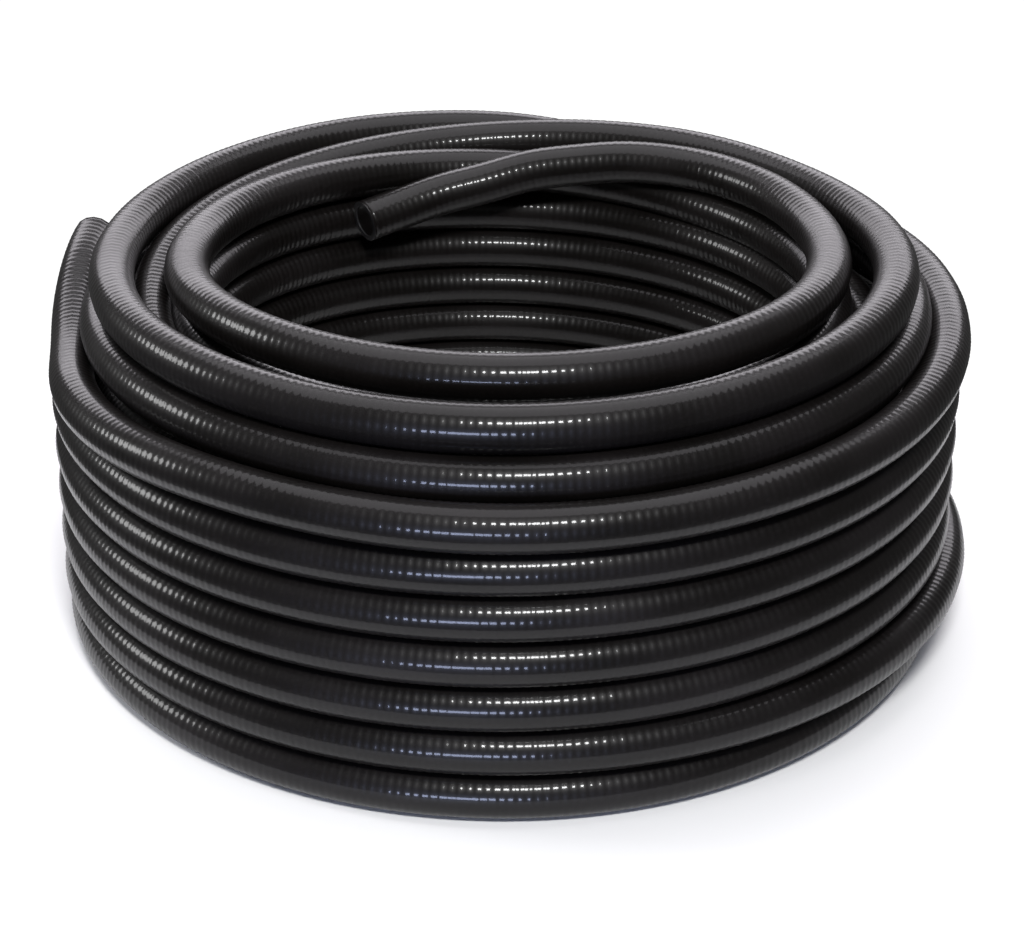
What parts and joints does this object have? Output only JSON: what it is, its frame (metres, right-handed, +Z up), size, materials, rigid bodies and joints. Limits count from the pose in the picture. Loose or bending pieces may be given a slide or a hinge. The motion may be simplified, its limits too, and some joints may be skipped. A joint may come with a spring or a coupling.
{
  "type": "garden hose coil",
  "caption": "Flexible ribbed garden hose wound as an upright coil round an open bore, with its two cut ends free",
  "frame": {"origin": "on the floor at the coil's middle, between the lowest and highest corners across", "axes": "+Z up along the coil's axis, its shortest extent; -Y is the side that the picture shows in front; +X to the right"},
  "size_m": [0.6778, 0.6772, 0.2885],
  "materials": {
    "hose_pvc": "glossy black soft PVC with fine close ribs round the hose"
  },
  "bodies": {
    "root": {"hose_coil": "hose_pvc", "hose_inner_end": "hose_pvc", "hose_outer_end": "hose_pvc"}
  },
  "joints": []
}
